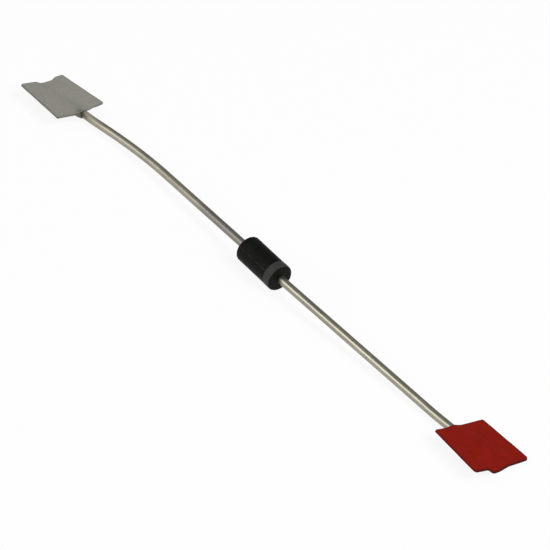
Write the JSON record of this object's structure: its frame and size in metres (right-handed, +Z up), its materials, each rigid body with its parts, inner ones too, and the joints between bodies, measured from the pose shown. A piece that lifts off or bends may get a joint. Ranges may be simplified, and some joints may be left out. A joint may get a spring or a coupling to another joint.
{
  "type": "zener diode",
  "caption": "Axial zener diode: a black moulded cylinder with a grey cathode band, a tinned wire from each end, and a paper tape tab still on each wire's end.",
  "frame": {"origin": "under the middle of the whole part's box, on the surface that it lies on", "axes": "+X along the body towards the banded cathode end, +Y across it, +Z up"},
  "size_m": [0.0646, 0.0114, 0.0026],
  "materials": {
    "epoxy": "moulded black epoxy, satin",
    "band_ink": "thin grey print",
    "tinned_wire": "tinned copper, dull",
    "silicon": "sawn silicon",
    "solder": "reflowed solder",
    "white_paper": "uncoated tape",
    "red_paper": "coloured tape"
  },
  "bodies": {
    "root": {"moulded_body": "epoxy", "cathode_band": "band_ink", "anode_lead": "tinned_wire", "cathode_lead": "tinned_wire", "silicon_die": "silicon", "anode_solder": "solder", "cathode_solder": "solder", "white_tape_top": "white_paper", "white_tape_bottom": "white_paper", "red_tape_top": "red_paper", "red_tape_bottom": "red_paper"}
  },
  "joints": []
}
